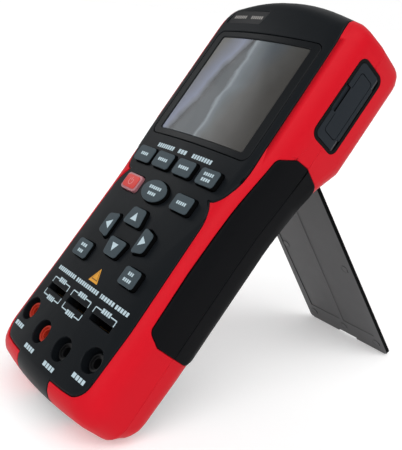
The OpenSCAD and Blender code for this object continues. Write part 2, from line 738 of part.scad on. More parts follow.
// ---- battery ----
cell_r = 7.1;
cell_len = 49;
bay_y = -26;
bay_w = 61;
bay_h = 55;
cell_z = -25.2;
cover_screw_y = 7;
cover_seat = -34.1;
module at_bay() { translate([0, bay_y, 0]) children(); }
module cover_shape(g, z0, z1) {
    at_bay() rounded_box(bay_w + 2 * g, bay_h + 2 * g, 2, z0, z1);
    translate([0, cover_screw_y - 3.4, 0]) rounded_box(14 + 2 * g, 14 + 2 * g, 2, z0, z1);
}
module battery_opening() {
    cover_shape(0.3, -60, -33);
    at_bay() rounded_box(bay_w + 0.4, bay_h + 0.4, 2, -34, 0);
    rod(0, cover_screw_y, 1.3, -60, -25);
}
module battery_cover() {
    color(ABS_BLACK) difference() {
        cover_shape(0, -lower_depth, -33.1);
        rod(0, cover_screw_y, 1.7, -60, 0);
        rod(0, cover_screw_y, 3.1, -60, cover_seat);
        for (i = [-2:2]) translate([i * 5, bay_y - bay_h / 2 + 8, 0]) block(-0.8, 0.8, -4, 4, -60, -lower_depth + 0.6);
    }
}
module cover_screw() { color(STEEL) screw(0, cover_screw_y, 2.6, 1, 1.25, cover_seat, -27); }
module battery_tray() {
    color(GRIP_BLACK) at_bay() difference() {
        rounded_box(bay_w, bay_h, 2, -32.9, -16.4);
        rounded_box(bay_w - 2.2, bay_h - 2.4, 1, -50, -17.6);
    }
}
module battery_cells() {
    color([0.25, 0.27, 0.3]) for (i = [-1.5:1.5]) translate([i * 14.5, bay_y, cell_z]) rotate([90, 0, 0]) {
        cylinder(r = cell_r, h = cell_len, center = true);
        translate([0, 0, i % 1 == 0 ? 0 : (i > 0 ? 1 : -1) * cell_len / 2]) cylinder(r = 2.6, h = 2.4, center = true);
    }
}
module battery_contacts() {
    color(STEEL) at_bay() for (i = [-1.5:1.5], s = [-1, 1])
        translate([i * 14.5, s * 25.95, cell_z]) block(-4, 4, -0.2, 0.2, -5, 5);
}

// ---- the whole meter, leaning back on its stand ----
function lean_reach(p) = p.y * sin(lean) - p.z * cos(lean);
front_reach = min([
    for (i = [0:ring_steps]) let (a = i * 90 / ring_steps)
    for (p = front_ring(fine_outline, shoulder_in * (1 - sin(a)), shoulder_drop * (1 - cos(a)), 1, 0)) lean_reach(p)
]);
foot_reach = lean_reach([0, hinge_y, hinge_z]) + (stand_len - foot_r) * sin(stand_open - lean) + foot_r;
foot_shift = (front_reach + foot_reach) / 2;
module standing() {
    translate([0, -foot_shift, -floor_level]) rotate([90 - lean, 0, 0]) children();
}
standing() front_shell();
standing() front_bumper();
standing() rear_shell();
standing() rear_bumper();
standing() grip_half(true);  // grip_right_front
standing() grip_half(false);  // grip_right_rear
standing() mirror([1, 0, 0]) grip_half(true);  // grip_left_front
standing() mirror([1, 0, 0]) grip_half(false);  // grip_left_rear
standing() display_lens();
standing() display_surround();
standing() lcd_module();
standing() lcd_tray();
standing() name_plate();
standing() main_board();
standing() board_parts();
standing() keypad_mat();
standing() shield_can();
standing() buzzer();
standing() key_cap(0);  // key_freq
standing() key_cap(1);  // key_level
standing() key_cap(2);  // key_speed
standing() key_cap(3);  // key_secondary
standing() key_power();
standing() power_key_glow();
standing() key_cap(5);  // key_auto
standing() key_cap(6);  // key_lcrz
standing() key_cap(7);  // key_up
standing() key_cap(8);  // key_down
standing() key_cap(9);  // key_left
standing() key_cap(10);  // key_right
standing() key_cap(11);  // key_hold
standing() key_cap(12);  // key_relative
standing() slot_block();
standing() slot_contacts();
standing() socket_inserts_red();
standing() socket_inserts_black();
standing() socket_tubes();
standing() terminal_board();
standing() usb_frame();
standing() usb_door();
standing() door_pin();
standing() usb_board();
standing() usb_receptacle();
standing() usb_tongue();
standing() stand();
standing() stand_pins();
standing() battery_tray();
standing() battery_cells();
standing() battery_contacts();
standing() battery_cover();
standing() cover_screw();
standing() case_screws();
standing() board_screws();
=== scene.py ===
import json
import math

import bmesh
import bpy
from mathutils import Matrix, Vector
from mathutils.bvhtree import BVHTree


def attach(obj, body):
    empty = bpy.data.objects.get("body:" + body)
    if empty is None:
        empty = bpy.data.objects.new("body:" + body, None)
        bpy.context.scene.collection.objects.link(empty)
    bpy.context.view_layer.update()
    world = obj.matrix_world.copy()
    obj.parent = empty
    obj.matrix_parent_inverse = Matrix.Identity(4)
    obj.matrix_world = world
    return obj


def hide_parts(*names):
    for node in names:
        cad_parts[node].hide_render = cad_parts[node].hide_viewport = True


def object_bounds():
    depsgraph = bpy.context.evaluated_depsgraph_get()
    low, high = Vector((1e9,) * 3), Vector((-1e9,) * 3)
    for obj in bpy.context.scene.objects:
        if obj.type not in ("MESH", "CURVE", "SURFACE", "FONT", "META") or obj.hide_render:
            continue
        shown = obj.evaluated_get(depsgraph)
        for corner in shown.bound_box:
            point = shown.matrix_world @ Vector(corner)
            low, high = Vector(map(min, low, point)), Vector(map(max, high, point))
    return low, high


mm = 0.001
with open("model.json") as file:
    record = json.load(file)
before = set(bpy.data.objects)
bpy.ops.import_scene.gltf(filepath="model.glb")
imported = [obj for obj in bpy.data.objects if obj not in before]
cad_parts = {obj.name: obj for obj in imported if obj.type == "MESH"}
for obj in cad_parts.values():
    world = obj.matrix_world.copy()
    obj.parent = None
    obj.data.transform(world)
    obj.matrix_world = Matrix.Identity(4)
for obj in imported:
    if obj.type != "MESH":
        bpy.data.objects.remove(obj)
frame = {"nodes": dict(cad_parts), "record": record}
cadLow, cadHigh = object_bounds()
cadNodes = frame["nodes"]
bodyOf = {node: body for body, group in frame["record"]["behaviour"]["bodies"].items() for node in group}
slotOf = {part["node"]: part["material_slot"] for part in frame["record"]["subparts"]}
print("frame loaded:", len(cadNodes), "nodes")

# The panel's own axes, in millimetres: across, up the panel and out of it
panel = {"innerSocketBelow": 83.2, "socketMiddleIn": 15.0}
mounts = {mount["name"]: mount for mount in frame["record"]["mounts"]}
innerLeft = Vector(mounts["socket_inner_left"]["pos_m"])
innerRight = Vector(mounts["socket_inner_right"]["pos_m"])
across = Vector((1, 0, 0))
outward = Vector(mounts["socket_inner_left"]["axis"]).normalized()
upward = outward.cross(across)
panelOrigin = (innerLeft + innerRight) / 2
panelOrigin += upward * panel["innerSocketBelow"] * mm + outward * panel["socketMiddleIn"] * mm
toWorld = Matrix((across, upward, outward)).transposed().to_4x4()
toWorld.translation = panelOrigin
toWorld = toWorld @ Matrix.Scale(mm, 4)
toPanel = toWorld.inverted()


def panelBox(node):
    points = [toPanel @ vertex.co for vertex in cadNodes[node].data.vertices]
    low = Vector([min(point[axis] for point in points) for axis in range(3)])
    high = Vector([max(point[axis] for point in points) for axis in range(3)])
    return low, high


# The camera is placed in the panel's axes, so it keeps its view of the panel at any lean
cameraSetup = {
    "place": (266.7, -51.3, 187.7),      # in panel millimetres
    "right": (0.588, 0.560, -0.583),
    "down": (0.267, -0.815, -0.514),
    "lens": 60.94,
    "shift": (-0.0184, -0.0171),
}
cameraData = bpy.data.cameras.new("viewCamera")
cameraData.lens = cameraSetup["lens"]
cameraData.shift_x, cameraData.shift_y = cameraSetup["shift"]
cameraData.clip_start = 0.01
camera = bpy.data.objects.new("viewCamera", cameraData)
bpy.context.collection.objects.link(camera)
axesOnly = Matrix((across, upward, outward)).transposed()
viewRight = (axesOnly @ Vector(cameraSetup["right"])).normalized()
viewUp = -(axesOnly @ Vector(cameraSetup["down"]))
viewUp = (viewUp - viewRight * viewUp.dot(viewRight)).normalized()
viewBack = viewRight.cross(viewUp)
camera.matrix_world = Matrix.Translation(toWorld @ Vector(cameraSetup["place"])) @ Matrix(
    (viewRight, viewUp, viewBack)
).transposed().to_4x4()
bpy.context.scene.camera = camera
print("camera placed")


def startMaterial(name):
    material = bpy.data.materials.new(name)
    material.use_nodes = True
    material.node_tree.nodes.clear()
    return material, material.node_tree.nodes, material.node_tree.links


def mouldedPlastic(name, colour, roughness, grainScale, grainHeight, mottle, shine=0.5, wear=0.04):
    plastic, nodes, links = startMaterial(name)

    toneFrame = nodes.new("NodeFrame")
    toneFrame.label = "Slight change of tone"
    grainFrame = nodes.new("NodeFrame")
    grainFrame.label = "Mould grain"
    glossFrame = nodes.new("NodeFrame")
    glossFrame.label = "Handled gloss"

    place = nodes.new("ShaderNodeTexCoord")
    place.label = "Place on the moulding"
    place.location = (-1000, 0)

    toneNoise = nodes.new("ShaderNodeTexNoise")
    toneNoise.label = "Cloudy tone"
    toneNoise.location = (-700, 300)
    toneNoise.parent = toneFrame
    toneNoise.inputs["Scale"].default_value = 45
    toneNoise.inputs["Detail"].default_value = 3

    toneMix = nodes.new("ShaderNodeMix")
    toneMix.label = "Plastic colour"
    toneMix.location = (-400, 300)
    toneMix.parent = toneFrame
    toneMix.data_type = "RGBA"
    toneMix.inputs[6].default_value = (*[channel * (1 - mottle) for channel in colour], 1)
    toneMix.inputs[7].default_value = (*[min(1, channel * (1 + mottle)) for channel in colour], 1)

    glossNoise = nodes.new("ShaderNodeTexNoise")
    glossNoise.label = "Finger marks"
    glossNoise.location = (-700, 0)
    glossNoise.parent = glossFrame
    glossNoise.inputs["Scale"].default_value = 120
    glossNoise.inputs["Detail"].default_value = 4

    glossRange = nodes.new("ShaderNodeMapRange")
    glossRange.label = "Roughness range"
    glossRange.location = (-400, 0)
    glossRange.parent = glossFrame
    glossRange.inputs["To Min"].default_value = roughness - wear
    glossRange.inputs["To Max"].default_value = roughness + wear

    grainNoise = nodes.new("ShaderNodeTexNoise")
    grainNoise.label = "Fine grain"
    grainNoise.location = (-700, -300)
    grainNoise.parent = grainFrame
    grainNoise.inputs["Scale"].default_value = grainScale
    grainNoise.inputs["Detail"].default_value = 2

    grainBump = nodes.new("ShaderNodeBump")
    grainBump.label = "Grain height"
    grainBump.location = (-400, -300)
    grainBump.parent = grainFrame
    grainBump.inputs["Strength"].default_value = 0.6
    grainBump.inputs["Distance"].default_value = grainHeight * mm

    shader = nodes.new("ShaderNodeBsdfPrincipled")
    shader.label = "Moulded plastic"
    shader.location = (0, 0)
    shader.inputs["IOR"].default_value = 1.5
    shader.inputs["Specular IOR Level"].default_value = shine

    output = nodes.new("ShaderNodeOutputMaterial")
    output.label = "Plastic surface"
    output.location = (300, 0)

    links.new(place.outputs["Object"], toneNoise.inputs["Vector"])
    links.new(place.outputs["Object"], glossNoise.inputs["Vector"])
    links.new(place.outputs["Object"], grainNoise.inputs["Vector"])
    links.new(toneNoise.outputs["Fac"], toneMix.inputs[0])
    links.new(toneMix.outputs[2], shader.inputs["Base Color"])
    links.new(glossNoise.outputs["Fac"], glossRange.inputs["Value"])
    links.new(glossRange.outputs["Result"], shader.inputs["Roughness"])
    links.new(grainNoise.outputs["Fac"], grainBump.inputs["Height"])
    links.new(grainBump.outputs["Normal"], shader.inputs["Normal"])
    links.new(shader.outputs["BSDF"], output.inputs["Surface"])
    return plastic


def plainMetal(name, colour, roughness, scratchScale):
    metal, nodes, links = startMaterial(name)

    scratchFrame = nodes.new("NodeFrame")
    scratchFrame.label = "Fine scratches"

    place = nodes.new("ShaderNodeTexCoord")
    place.label = "Place on the metal"
    place.location = (-900, 0)

    scratchNoise = nodes.new("ShaderNodeTexNoise")
    scratchNoise.label = "Scratches"
    scratchNoise.location = (-600, 0)
    scratchNoise.parent = scratchFrame
    scratchNoise.inputs["Scale"].default_value = scratchScale
    scratchNoise.inputs["Detail"].default_value = 4

    scratchRange = nodes.new("ShaderNodeMapRange")
    scratchRange.label = "Polish range"
    scratchRange.location = (-300, 0)
    scratchRange.parent = scratchFrame
    scratchRange.inputs["To Min"].default_value = roughness * 0.8
    scratchRange.inputs["To Max"].default_value = roughness * 1.3

    shader = nodes.new("ShaderNodeBsdfPrincipled")
    shader.label = "Metal"
    shader.location = (0, 0)
    shader.inputs["Base Color"].default_value = (*colour, 1)
    shader.inputs["Metallic"].default_value = 1

    output = nodes.new("ShaderNodeOutputMaterial")
    output.label = "Metal surface"
    output.location = (300, 0)

    links.new(place.outputs["Object"], scratchNoise.inputs["Vector"])
    links.new(scratchNoise.outputs["Fac"], scratchRange.inputs["Value"])
    links.new(scratchRange.outputs["Result"], shader.inputs["Roughness"])
    links.new(shader.outputs["BSDF"], output.inputs["Surface"])
    return metal


def flatInk(name, colour, roughness, glow=0.0):
    ink, nodes, links = startMaterial(name)

    shader = nodes.new("ShaderNodeBsdfPrincipled")
    shader.label = "Printed ink"
    shader.location = (0, 0)
    shader.inputs["Base Color"].default_value = (*colour, 1)
    shader.inputs["Roughness"].default_value = roughness
    shader.inputs["Emission Color"].default_value = (*colour, 1)
    shader.inputs["Emission Strength"].default_value = glow

    output = nodes.new("ShaderNodeOutputMaterial")
    output.label = "Ink surface"
    output.location = (300, 0)

    links.new(shader.outputs["BSDF"], output.inputs["Surface"])
    return ink


# The display's colour is a cloudy mix from dark to silver: painted mottled reflection
def displayPaintedReflection(name, darkTone, reflectionTone):
    film, nodes, links = startMaterial(name)

    shader = nodes.new("ShaderNodeBsdfPrincipled")
    shader.label = "Display glass"
    shader.location = (0, 0)
    shader.inputs["Roughness"].default_value = 0.3

    output = nodes.new("ShaderNodeOutputMaterial")
    output.label = "Display surface"
    output.location = (300, 0)

    place = nodes.new("ShaderNodeTexCoord")
    place.label = "Place on the display"
    place.location = (-900, 0)

    # Painted mottled reflection in the display colour
    reflectionNoise = nodes.new("ShaderNodeTexNoise")
    reflectionNoise.label = "Cloudy film"
    reflectionNoise.location = (-700, 0)
    reflectionNoise.inputs["Scale"].default_value = 40

    reflectionRamp = nodes.new("ShaderNodeValToRGB")
    reflectionRamp.label = "Dark to silver"
    reflectionRamp.location = (-450, 0)
    reflectionRamp.color_ramp.elements[0].position = 0.36
    reflectionRamp.color_ramp.elements[0].color = (*darkTone, 1)
    reflectionRamp.color_ramp.elements[1].position = 0.66
    reflectionRamp.color_ramp.elements[1].color = (*reflectionTone, 1)

    links.new(place.outputs["Object"], reflectionNoise.inputs["Vector"])
    links.new(reflectionNoise.outputs["Fac"], reflectionRamp.inputs["Fac"])
    links.new(reflectionRamp.outputs["Color"], shader.inputs["Base Color"])
    links.new(shader.outputs["BSDF"], output.inputs["Surface"])
    return film


# Painted reflections on the window: its tones run from its left edge to its right, with a slanting dark
# line and a pale streak
windowPaintedReflections = {
    "leftEdge": (0.02, (0.15, 0.15, 0.145)),
    "rightEdge": (1.0, (0.045, 0.043, 0.040)),
    "between": (
        (0.24, (0.17, 0.19, 0.26)),
        (0.30, (0.10, 0.11, 0.13)),
        (0.335, (0.03, 0.033, 0.038)),
        (0.40, (0.045, 0.054, 0.062)),
        (0.62, (0.052, 0.062, 0.072)),
        (0.78, (0.060, 0.060, 0.058)),
    ),
    "streak": (
        (0.33, (0.13, 0.15, 0.165)),
        (0.44, (0.045, 0.055, 0.062)),
        (0.66, (0.015, 0.02, 0.022)),
    ),
    "slant": 0.32,
    "seeThrough": 0.05,
}


# The window's base colour is painted reflection over its smoky tone: a slanting wedge, a dark line and a
# pale streak
def smokyWindow(name, centre, look):
    window, nodes, links = startMaterial(name)

    # Painted reflections: the wedge on the left and the pale streak down the middle
    wedgeFrame = nodes.new("NodeFrame")
    wedgeFrame.label = "Slanting reflection on the left"
    streakFrame = nodes.new("NodeFrame")
    streakFrame.label = "Pale streak down the middle"
    smudgeFrame = nodes.new("NodeFrame")
    smudgeFrame.label = "Smudges"

    place = nodes.new("ShaderNodeTexCoord")
    place.label = "Place in the scene"
    place.location = (-1700, 0)

    ownPlace = nodes.new("ShaderNodeMapping")
    ownPlace.label = "Millimetres from the middle of the window"
    ownPlace.location = (-1450, 0)
    ownPlace.vector_type = "TEXTURE"
    ownPlace.inputs["Location"].default_value = toWorld @ Vector(centre)
    ownPlace.inputs["Rotation"].default_value = axesOnly.to_euler()
    ownPlace.inputs["Scale"].default_value = (mm, mm, mm)

    waver = nodes.new("ShaderNodeTexNoise")
    waver.label = "Wavering edges"
    waver.location = (-1450, -350)
    waver.inputs["Scale"].default_value = 0.07
    waver.inputs["Detail"].default_value = 4

    waverReach = nodes.new("ShaderNodeVectorMath")
    waverReach.label = "Reach of the waver"
    waverReach.location = (-1200, -100)
    waverReach.operation = "MULTIPLY_ADD"
    waverReach.inputs[1].default_value = (11, 3, 0)

    wedgeSlant = nodes.new("ShaderNodeVectorMath")
    wedgeSlant.label = "Slanted across the window"
    wedgeSlant.location = (-950, 250)
    wedgeSlant.parent = wedgeFrame
    wedgeSlant.operation = "DOT_PRODUCT"
    wedgeSlant.inputs[1].default_value = (1, -look["slant"], 0)

    wedgeRange = nodes.new("ShaderNodeMapRange")
    wedgeRange.label = "Left to right"
    wedgeRange.location = (-700, 250)
    wedgeRange.parent = wedgeFrame
    wedgeRange.inputs["From Min"].default_value = -30
    wedgeRange.inputs["From Max"].default_value = 30

    # Colours of the painted reflection across the window
    wedgeRamp = nodes.new("ShaderNodeValToRGB")
    wedgeRamp.label = "Blue wedge, dark line, warm grey"
    wedgeRamp.location = (-500, 250)
    wedgeRamp.parent = wedgeFrame
    tones = wedgeRamp.color_ramp.elements
    tones[0].position = look["leftEdge"][0]
    tones[0].color = (*look["leftEdge"][1], 1)
    tones[1].position = look["rightEdge"][0]
    tones[1].color = (*look["rightEdge"][1], 1)
    for position, colour in look["between"]:
        tone = tones.new(position)
        tone.color = (*colour, 1)

    streakSplit = nodes.new("ShaderNodeSeparateXYZ")
    streakSplit.label = "Across the window"
    streakSplit.location = (-950, -50)
    streakSplit.parent = streakFrame

    streakRange = nodes.new("ShaderNodeMapRange")
    streakRange.label = "Beside the streak"
    streakRange.location = (-700, -50)
    streakRange.parent = streakFrame
    streakRange.inputs["From Min"].default_value = -4
    streakRange.inputs["From Max"].default_value = 16

    # Painted pale streak of reflection, sharp on the left and soft on the right
    streakRamp = nodes.new("ShaderNodeValToRGB")
    streakRamp.label = "Sharp on the left, soft on the right"
    streakRamp.location = (-500, -50)
    streakRamp.parent = streakFrame
    glow = streakRamp.color_ramp.elements
    glow[0].position = 0.22
    glow[0].color = (0, 0, 0, 1)
    glow[1].position = 0.95
    glow[1].color = (0, 0, 0, 1)
    for position, colour in look["streak"]:
        tone = glow.new(position)
        tone.color = (*colour, 1)

    toneSum = nodes.new("ShaderNodeMix")
    toneSum.label = "Streak over wedge"
    toneSum.location = (-200, 150)
    toneSum.data_type = "RGBA"
    toneSum.blend_type = "ADD"
    toneSum.inputs[0].default_value = 1

    smudgeNoise = nodes.new("ShaderNodeTexNoise")
    smudgeNoise.label = "Wiped smudges"
    smudgeNoise.location = (-900, -400)
    smudgeNoise.parent = smudgeFrame
    smudgeNoise.inputs["Scale"].default_value = 0.12
    smudgeNoise.inputs["Detail"].default_value = 5
    smudgeNoise.inputs["Distortion"].default_value = 0.8

    smudgeRange = nodes.new("ShaderNodeMapRange")
    smudgeRange.label = "Smudge roughness"
    smudgeRange.location = (-650, -400)
    smudgeRange.parent = smudgeFrame
    smudgeRange.inputs["To Min"].default_value = 0.06
    smudgeRange.inputs["To Max"].default_value = 0.3

    shader = nodes.new("ShaderNodeBsdfPrincipled")
    shader.label = "Smoky acrylic"
    shader.location = (50, 0)
    shader.inputs["IOR"].default_value = 1.49
    shader.inputs["Specular IOR Level"].default_value = 0.22
    shader.inputs["Alpha"].default_value = 1 - look["seeThrough"]

    output = nodes.new("ShaderNodeOutputMaterial")
    output.label = "Window surface"
    output.location = (350, 0)

    links.new(place.outputs["Object"], ownPlace.inputs["Vector"])
    links.new(ownPlace.outputs["Vector"], waver.inputs["Vector"])
    links.new(waver.outputs["Color"], waverReach.inputs[0])
    links.new(ownPlace.outputs["Vector"], waverReach.inputs[2])
    links.new(waverReach.outputs["Vector"], wedgeSlant.inputs[0])
    links.new(wedgeSlant.outputs["Value"], wedgeRange.inputs["Value"])
    links.new(wedgeRange.outputs["Result"], wedgeRamp.inputs["Fac"])
    links.new(waverReach.outputs["Vector"], streakSplit.inputs["Vector"])
    links.new(streakSplit.outputs["X"], streakRange.inputs["Value"])
    links.new(streakRange.outputs["Result"], streakRamp.inputs["Fac"])
    links.new(wedgeRamp.outputs["Color"], toneSum.inputs[6])
    links.new(streakRamp.outputs["Color"], toneSum.inputs[7])
    links.new(toneSum.outputs[2], shader.inputs["Base Color"])
    links.new(ownPlace.outputs["Vector"], smudgeNoise.inputs["Vector"])
    links.new(smudgeNoise.outputs["Fac"], smudgeRange.inputs["Value"])
    links.new(smudgeRange.outputs["Result"], shader.inputs["Roughness"])
    links.new(shader.outputs["BSDF"], output.inputs["Surface"])
    return window


caseBlack = mouldedPlastic("caseBlack", (0.0054, 0.0068, 0.0084), 0.42, 2600, 0.02, 0.12, 0.09)
surroundBlack = mouldedPlastic("surroundBlack", (0.0046, 0.0056, 0.0068), 0.34, 2600, 0.01, 0.1, 0.10)
bumperRed = mouldedPlastic("bumperRed", (0.54, 0.0038, 0.0125), 0.45, 2200, 0.012, 0.04, 0.1)
gripBlack = mouldedPlastic("gripBlack", (0.0028, 0.0030, 0.0038), 0.55, 1800, 0.03, 0.12, 0.06)
keySlate = mouldedPlastic("keySlate", (0.036, 0.052, 0.062), 0.5, 3000, 0.008, 0.08, 0.2)
keyRed = mouldedPlastic("keyRed", (0.52, 0.02, 0.014), 0.4, 3000, 0.005, 0.06)
keyRim = mouldedPlastic("keyRim", (0.34, 0.13, 0.15), 0.3, 3000, 0.005, 0.2)
socketRed = mouldedPlastic("socketRed", (0.42, 0.028, 0.012), 0.38, 2600, 0.006, 0.1)
socketBlack = mouldedPlastic("socketBlack", (0.0035, 0.0036, 0.004), 0.36, 2600, 0.006, 0.1)
doorSlate = mouldedPlastic("doorSlate", (0.0115, 0.0155, 0.0205), 0.46, 2600, 0.012, 0.1, 0.1)
standGrey = mouldedPlastic("standGrey", (0.048, 0.0475, 0.050), 0.48, 2000, 0.02, 0.08)
innerBlack = mouldedPlastic("innerBlack", (0.003, 0.003, 0.0035), 0.6, 1500, 0.01, 0.1, 0.08)
matGrey = mouldedPlastic("matGrey", (0.10, 0.105, 0.11), 0.65, 1500, 0.01, 0.1)
boardGreen = mouldedPlastic("boardGreen", (0.012, 0.10, 0.035), 0.35, 900, 0.01, 0.2)
plateBlack = mouldedPlastic("plateBlack", (0.006, 0.0066, 0.0078), 0.3, 3000, 0.004, 0.05, 0.14)
# Black of the key skirts, also used as painted shade in the door groove and on the stand's side edges
skirtBlackAndPaintedShade = mouldedPlastic("skirtBlackAndPaintedShade", (0.0016, 0.0017, 0.0019), 0.7, 1500, 0.008, 0.1, 0.04)
cellJacket = mouldedPlastic("cellJacket", (0.03, 0.034, 0.045), 0.3, 900, 0.004, 0.2)
springSteel = plainMetal("springSteel", (0.56, 0.57, 0.59), 0.3, 1400)
blackScrew = plainMetal("blackScrew", (0.07, 0.07, 0.075), 0.38, 1400)
contactGold = plainMetal("contactGold", (0.85, 0.55, 0.18), 0.28, 1400)
socketNickel = plainMetal("socketNickel", (0.12, 0.10, 0.075), 0.45, 1400)
paleInk = flatInk("paleInk", (0.42, 0.53, 0.58), 0.5)
amberInk = flatInk("amberInk", (0.60, 0.27, 0.012), 0.5)
displayGrey = displayPaintedReflection("displayGrey", (0.012, 0.014, 0.016), (0.20, 0.215, 0.225))
windowLow, windowHigh = panelBox("display_lens")
acrylicWithPaintedReflections = smokyWindow("acrylicWithPaintedReflections", ((windowLow + windowHigh) / 2)[:], windowPaintedReflections)

finishOf = {
    "case_black": caseBlack,
    "bumper_red": bumperRed,
    "grip_rubber": gripBlack,
    "window": acrylicWithPaintedReflections,
    "lcd": displayGrey,
    "spring_steel": springSteel,
    "name_plate": plateBlack,
    "board": boardGreen,
    "component_black": innerBlack,
    "silicone": matGrey,
    "key_slate": keySlate,
    "key_red": keyRed,
    "key_rim": keyRim,
    "socket_red": socketRed,
    "contact_brass": contactGold,
    "door_slate": doorSlate,
    "stand_grey": standGrey,
    "cell_jacket": cellJacket,
}
ownFinish = {
    "display_surround": surroundBlack,
    "socket_inserts_black": socketBlack,
    "socket_tubes": socketNickel,
    "slot_block": innerBlack,
    "case_screws": blackScrew,
    "cover_screw": blackScrew,
    "door_pin": blackScrew,
}


def finishFor(node):
    return ownFinish.get(node, finishOf[slotOf[node]])


for node, cadObject in cadNodes.items():
    cadObject.data.materials.clear()
    cadObject.data.materials.append(finishFor(node))
print("materials made:", len(bpy.data.materials))


def addPiece(name, shape, material, body):
    mesh = bpy.data.meshes.new(name)
    shape.to_mesh(mesh)
    shape.free()
    mesh.materials.append(material)
    piece = bpy.data.objects.new(name, mesh)
    bpy.context.collection.objects.link(piece)
    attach(piece, body)
    return piece


edgeSetup = {"sharp": 40, "near": 0.35}      # degrees, and millimetres from the neighbouring moulding


# Sharp edges get a small rounding, and those beside the neighbouring moulding a deeper one
def softenEdges(shape, look):
    layers = shape.edges.layers.float
    weights = layers.get("bevel_weight_edge") or layers.new("bevel_weight_edge")
    seam = look.get("seam", look["edge"])
    widest = max(seam, look["edge"])
    neighbours = [meshTree(node) for node in look.get("beside", ())]
    for edge in shape.edges:
        if not edge.is_manifold or edge.calc_face_angle(0) < math.radians(edgeSetup["sharp"]):
            continue
        middle = (edge.verts[0].co + edge.verts[1].co) / 2
        gaps = [tree.find_nearest(middle)[3] for tree in neighbours]
        beside = gaps and min(gaps) < edgeSetup["near"] * mm
        edge[weights] = (seam if beside else look["edge"]) / widest


def meshTree(*nodes):
    points, faces = [], []
    for node in nodes:
        mesh = cadNodes[node].data
        start = len(points)
        points += [vertex.co for vertex in mesh.vertices]
        faces += [[start + index for index in face.vertices] for face in mesh.polygons]
    return BVHTree.FromPolygons(points, faces)


def shadeByAngle(shape, angle):
    limit = math.radians(angle)
    for face in shape.faces:
        face.smooth = True
    for edge in shape.edges:
        edge.smooth = edge.is_manifold and edge.calc_face_angle(0) < limit


# A CAD node's own mesh, merged and shaded smooth, stands for the node
def finishedCopy(node, look):
    shape = bmesh.new()
    shape.from_mesh(cadNodes[node].data)
    bmesh.ops.remove_doubles(shape, verts=shape.verts, dist=0.002 * mm)
    bmesh.ops.dissolve_degenerate(shape, edges=shape.edges, dist=0.001 * mm)
    bmesh.ops.dissolve_limit(
        shape, angle_limit=math.radians(0.6), verts=shape.verts, edges=shape.edges
    )
    shadeByAngle(shape, look["angle"])
    if look["edge"]:
        softenEdges(shape, look)
    piece = addPiece(node + "Finished", shape, finishFor(node), bodyOf[node])
    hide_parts(node)
    if look["edge"]:
        bevel = piece.modifiers.new("softEdges", "BEVEL")
        bevel.width = max(look.get("seam", 0), look["edge"]) * mm
        bevel.segments = 2
        bevel.limit_method = "WEIGHT"
        bevel.use_clamp_overlap = False
    return piece


grips = ("grip_right_front", "grip_right_rear", "grip_left_front", "grip_left_rear")
mouldings = {
    "front_shell": {"angle": 28, "edge": 0.3, "seam": 0.9, "beside": ("front_bumper",)},
    "front_bumper": {
        "angle": 28, "edge": 0.25, "seam": 0.3, "beside": ("front_shell", "rear_bumper", *grips),
    },
    "rear_shell": {"angle": 28, "edge": 0.3},
    "rear_bumper": {"angle": 28, "edge": 0.25},
    "grip_right_front": {"angle": 32, "edge": 0.5},
    "grip_right_rear": {"angle": 32, "edge": 0.5},
    "grip_left_front": {"angle": 32, "edge": 0.5},
    "grip_left_rear": {"angle": 32, "edge": 0.5},
    "display_surround": {"angle": 28, "edge": 0.35},
    "usb_frame": {"angle": 28, "edge": 0.0},
    "usb_door": {"angle": 28, "edge": 0.0},
    "stand": {"angle": 28, "edge": 0.25},
    "battery_cover": {"angle": 28, "edge": 0.25},
    "slot_block": {"angle": 28, "edge": 0.0},
    "socket_inserts_red": {"angle": 30, "edge": 0.0},
    "socket_inserts_black": {"angle": 30, "edge": 0.0},
    "socket_tubes": {"angle": 30, "edge": 0.0},
    "display_lens": {"angle": 30, "edge": 0.25},
    "case_screws": {"angle": 30, "edge": 0.0},
    "cover_screw": {"angle": 30, "edge": 0.0},
}
finished = {node: finishedCopy(node, look) for node, look in mouldings.items()}


# Gives the faces that pass the test a second tone
def toneFaces(piece, tone, chosen):
    piece.data.materials.append(tone)
    for face in piece.data.polygons:
        if chosen(toPanel @ face.center, (toPanel.to_3x3() @ face.normal).normalized()):
            face.material_index = 1


# Painted shade: the groove in the side door and the two side edges of the stand are darker
paintedShadeFaces = {"grooveNear": 0.2, "grooveFar": 0.5, "sideways": 0.85, "edgeFrom": 20}
doorSkin = panelBox("usb_door")[1].x
# Painted shade in the door's groove
toneFaces(
    finished["usb_door"], skirtBlackAndPaintedShade,
    lambda spot, facing: paintedShadeFaces["grooveNear"] < doorSkin - spot.x < paintedShadeFaces["grooveFar"],
)
# Painted shade on the stand's two side edges
toneFaces(
    finished["stand"], skirtBlackAndPaintedShade,
    lambda spot, facing: abs(facing.x) > paintedShadeFaces["sideways"] and abs(spot.x) > paintedShadeFaces["edgeFrom"],
)
print("mouldings finished:", len(mouldings))

# Each key is a slate cap on a black skirt, with the flange that keeps it in the case
keyCaps = {
    "flange": 0.9, "corner": 1.6, "edge": 0.3, "foot": 0.7, "cap": 0.42,
    "skirtGap": 0.03, "skirtEdge": 0.05, "upNarrow": 9.8, "sideNarrow": 9.0,
}


# Corners of a box, or of a box that narrows towards the way an arrow key points
def keyOutline(kind, width, height):
    x, y = width / 2, height / 2
    narrowX, narrowY = keyCaps["upNarrow"] / 2, keyCaps["sideNarrow"] / 2
    if kind == "box":
        return [(-x, -y), (x, -y), (x, y), (-x, y)]
    if kind == "up":
        return [(-x, -y), (x, -y), (narrowX, y), (-narrowX, y)]
    if kind == "down":
        return [(-narrowX, -y), (narrowX, -y), (x, y), (-x, y)]
    if kind == "left":
        return [(-x, -narrowY), (x, -y), (x, y), (-x, narrowY)]
    return [(-x, -y), (x, -narrowY), (x, narrowY), (-x, y)]


